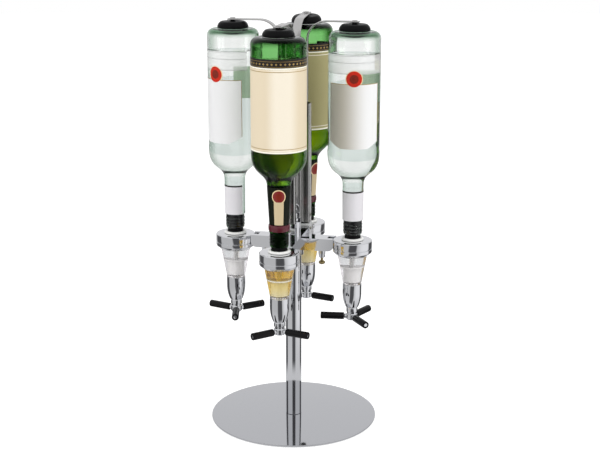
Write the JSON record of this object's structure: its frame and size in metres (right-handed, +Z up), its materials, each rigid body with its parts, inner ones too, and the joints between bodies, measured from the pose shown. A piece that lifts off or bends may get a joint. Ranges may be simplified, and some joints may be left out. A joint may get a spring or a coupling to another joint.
{
  "type": "rotary spirit dispenser",
  "caption": "Free-standing rotary dispenser: turning head on a post holds upside-down bottles, each over a spring-valve measure with a three-armed lever.",
  "frame": {"origin": "middle of the underside, on the axis of the post", "axes": "+Z up along the post, +X towards the right-hand arm of the head, -Y towards the front arm"},
  "size_m": [0.2513, 0.2529, 0.5822],
  "materials": {
    "chrome": "polished chrome plate",
    "mirror_plate": "mirror-polished steel plate",
    "spring_steel": "bright rolled spring steel",
    "zinc_screw": "zinc-plated steel",
    "nickel_brass": "nickelled brass, slightly warm",
    "pad_rubber": "moulded black rubber",
    "stopper_rubber": "moulded black rubber",
    "base_foam": "thin black foam",
    "white_plastic": "moulded white acetal",
    "clear_plastic": "clear polycarbonate",
    "lever_grip": "black vinyl sleeves on chromed rods",
    "clear_glass": "clear bottle glass",
    "green_glass": "green bottle glass"
  },
  "bodies": {
    "stand": {"base_pad": "base_foam", "base_plate": "mirror_plate", "base_screw": "zinc_screw", "post": "chrome", "spindle": "spring_steel", "cap_nut": "chrome"},
    "head": {"hub_bush": "white_plastic", "hub": "chrome", "rail_right": "spring_steel", "rail_back": "spring_steel", "rail_left": "spring_steel", "rail_front": "spring_steel"},
    "clamp_right": {"clamp_arm_right": "spring_steel", "clamp_pad_right": "pad_rubber"},
    "screw_right": {"thumb_screw_right": "nickel_brass"},
    "optic_right": {"collar_right": "chrome", "seat_ring_right": "white_plastic", "stopper_right": "stopper_rubber", "chamber_right": "clear_plastic", "valve_housing_right": "chrome", "valve_spring_right": "spring_steel", "bottle_right": "clear_glass"},
    "valve_right": {"plunger_right": "white_plastic"},
    "handle_right": {"lever_right": "lever_grip"},
    "clamp_back": {"clamp_arm_back": "spring_steel", "clamp_pad_back": "pad_rubber"},
    "screw_back": {"thumb_screw_back": "nickel_brass"},
    "optic_back": {"collar_back": "chrome", "seat_ring_back": "white_plastic", "stopper_back": "stopper_rubber", "chamber_back": "clear_plastic", "valve_housing_back": "chrome", "valve_spring_back": "spring_steel", "bottle_back": "green_glass"},
    "valve_back": {"plunger_back": "white_plastic"},
    "handle_back": {"lever_back": "lever_grip"},
    "clamp_left": {"clamp_arm_left": "spring_steel", "clamp_pad_left": "pad_rubber"},
    "screw_left": {"thumb_screw_left": "nickel_brass"},
    "optic_left": {"collar_left": "chrome", "seat_ring_left": "white_plastic", "stopper_left": "stopper_rubber", "chamber_left": "clear_plastic", "valve_housing_left": "chrome", "valve_spring_left": "spring_steel", "bottle_left": "clear_glass"},
    "valve_left": {"plunger_left": "white_plastic"},
    "handle_left": {"lever_left": "lever_grip"},
    "clamp_front": {"clamp_arm_front": "spring_steel", "clamp_pad_front": "pad_rubber"},
    "screw_front": {"thumb_screw_front": "nickel_brass"},
    "optic_front": {"collar_front": "chrome", "seat_ring_front": "white_plastic", "stopper_front": "stopper_rubber", "chamber_front": "clear_plastic", "valve_housing_front": "chrome", "valve_spring_front": "spring_steel", "bottle_front": "green_glass"},
    "valve_front": {"plunger_front": "white_plastic"},
    "handle_front": {"lever_front": "lever_grip"}
  },
  "joints": [
    {"name": "head_spin", "type": "hinge", "parent": "stand", "child": "head", "pos_m": [0, 0, 0.27], "axis": [0, 0, 1], "continuous": true},
    {"name": "clamp_lift_right", "type": "slide", "parent": "head", "child": "clamp_right", "axis": [0, 0, 1], "range_m": [0, 0.06]},
    {"name": "optic_draw_right", "type": "slide", "parent": "head", "child": "optic_right", "axis": [1, 0, 0], "range_m": [0, 0.024]},
    {"name": "screw_turn_right", "type": "hinge", "parent": "head", "child": "screw_right", "pos_m": [0.0415, 0, 0.24], "axis": [0, 0, 1], "range_deg": [0, 360]},
    {"name": "valve_lift_right", "type": "slide", "parent": "optic_right", "child": "valve_right", "axis": [0, 0, 1], "range_m": [0, 0.009], "stiffness_N_per_m": 500, "springref_m": -0.012, "deforming": ["valve_spring_right"]},
    {"name": "lever_spin_right", "type": "hinge", "parent": "valve_right", "child": "handle_right", "pos_m": [0.0855, 0, 0.159], "axis": [0, 0, 1], "continuous": true},
    {"name": "clamp_lift_back", "type": "slide", "parent": "head", "child": "clamp_back", "axis": [0, 0, 1], "range_m": [0, 0.06]},
    {"name": "optic_draw_back", "type": "slide", "parent": "head", "child": "optic_back", "axis": [0, 1, 0], "range_m": [0, 0.024]},
    {"name": "screw_turn_back", "type": "hinge", "parent": "head", "child": "screw_back", "pos_m": [0, 0.0415, 0.24], "axis": [0, 0, 1], "range_deg": [0, 360]},
    {"name": "valve_lift_back", "type": "slide", "parent": "optic_back", "child": "valve_back", "axis": [0, 0, 1], "range_m": [0, 0.009], "stiffness_N_per_m": 500, "springref_m": -0.012, "deforming": ["valve_spring_back"]},
    {"name": "lever_spin_back", "type": "hinge", "parent": "valve_back", "child": "handle_back", "pos_m": [0, 0.0855, 0.159], "axis": [0, 0, 1], "continuous": true},
    {"name": "clamp_lift_left", "type": "slide", "parent": "head", "child": "clamp_left", "axis": [0, 0, 1], "range_m": [0, 0.06]},
    {"name": "optic_draw_left", "type": "slide", "parent": "head", "child": "optic_left", "axis": [-1, 0, 0], "range_m": [0, 0.024]},
    {"name": "screw_turn_left", "type": "hinge", "parent": "head", "child": "screw_left", "pos_m": [-0.0415, 0, 0.24], "axis": [0, 0, 1], "range_deg": [0, 360]},
    {"name": "valve_lift_left", "type": "slide", "parent": "optic_left", "child": "valve_left", "axis": [0, 0, 1], "range_m": [0, 0.009], "stiffness_N_per_m": 500, "springref_m": -0.012, "deforming": ["valve_spring_left"]},
    {"name": "lever_spin_left", "type": "hinge", "parent": "valve_left", "child": "handle_left", "pos_m": [-0.0855, 0, 0.159], "axis": [0, 0, 1], "continuous": true},
    {"name": "clamp_lift_front", "type": "slide", "parent": "head", "child": "clamp_front", "axis": [0, 0, 1], "range_m": [0, 0.06]},
    {"name": "optic_draw_front", "type": "slide", "parent": "head", "child": "optic_front", "axis": [0, -1, 0], "range_m": [0, 0.024]},
    {"name": "screw_turn_front", "type": "hinge", "parent": "head", "child": "screw_front", "pos_m": [0, -0.0415, 0.24], "axis": [0, 0, 1], "range_deg": [0, 360]},
    {"name": "valve_lift_front", "type": "slide", "parent": "optic_front", "child": "valve_front", "axis": [0, 0, 1], "range_m": [0, 0.009], "stiffness_N_per_m": 500, "springref_m": -0.012, "deforming": ["valve_spring_front"]},
    {"name": "lever_spin_front", "type": "hinge", "parent": "valve_front", "child": "handle_front", "pos_m": [0, -0.0855, 0.159], "axis": [0, 0, 1], "continuous": true}
  ]
}
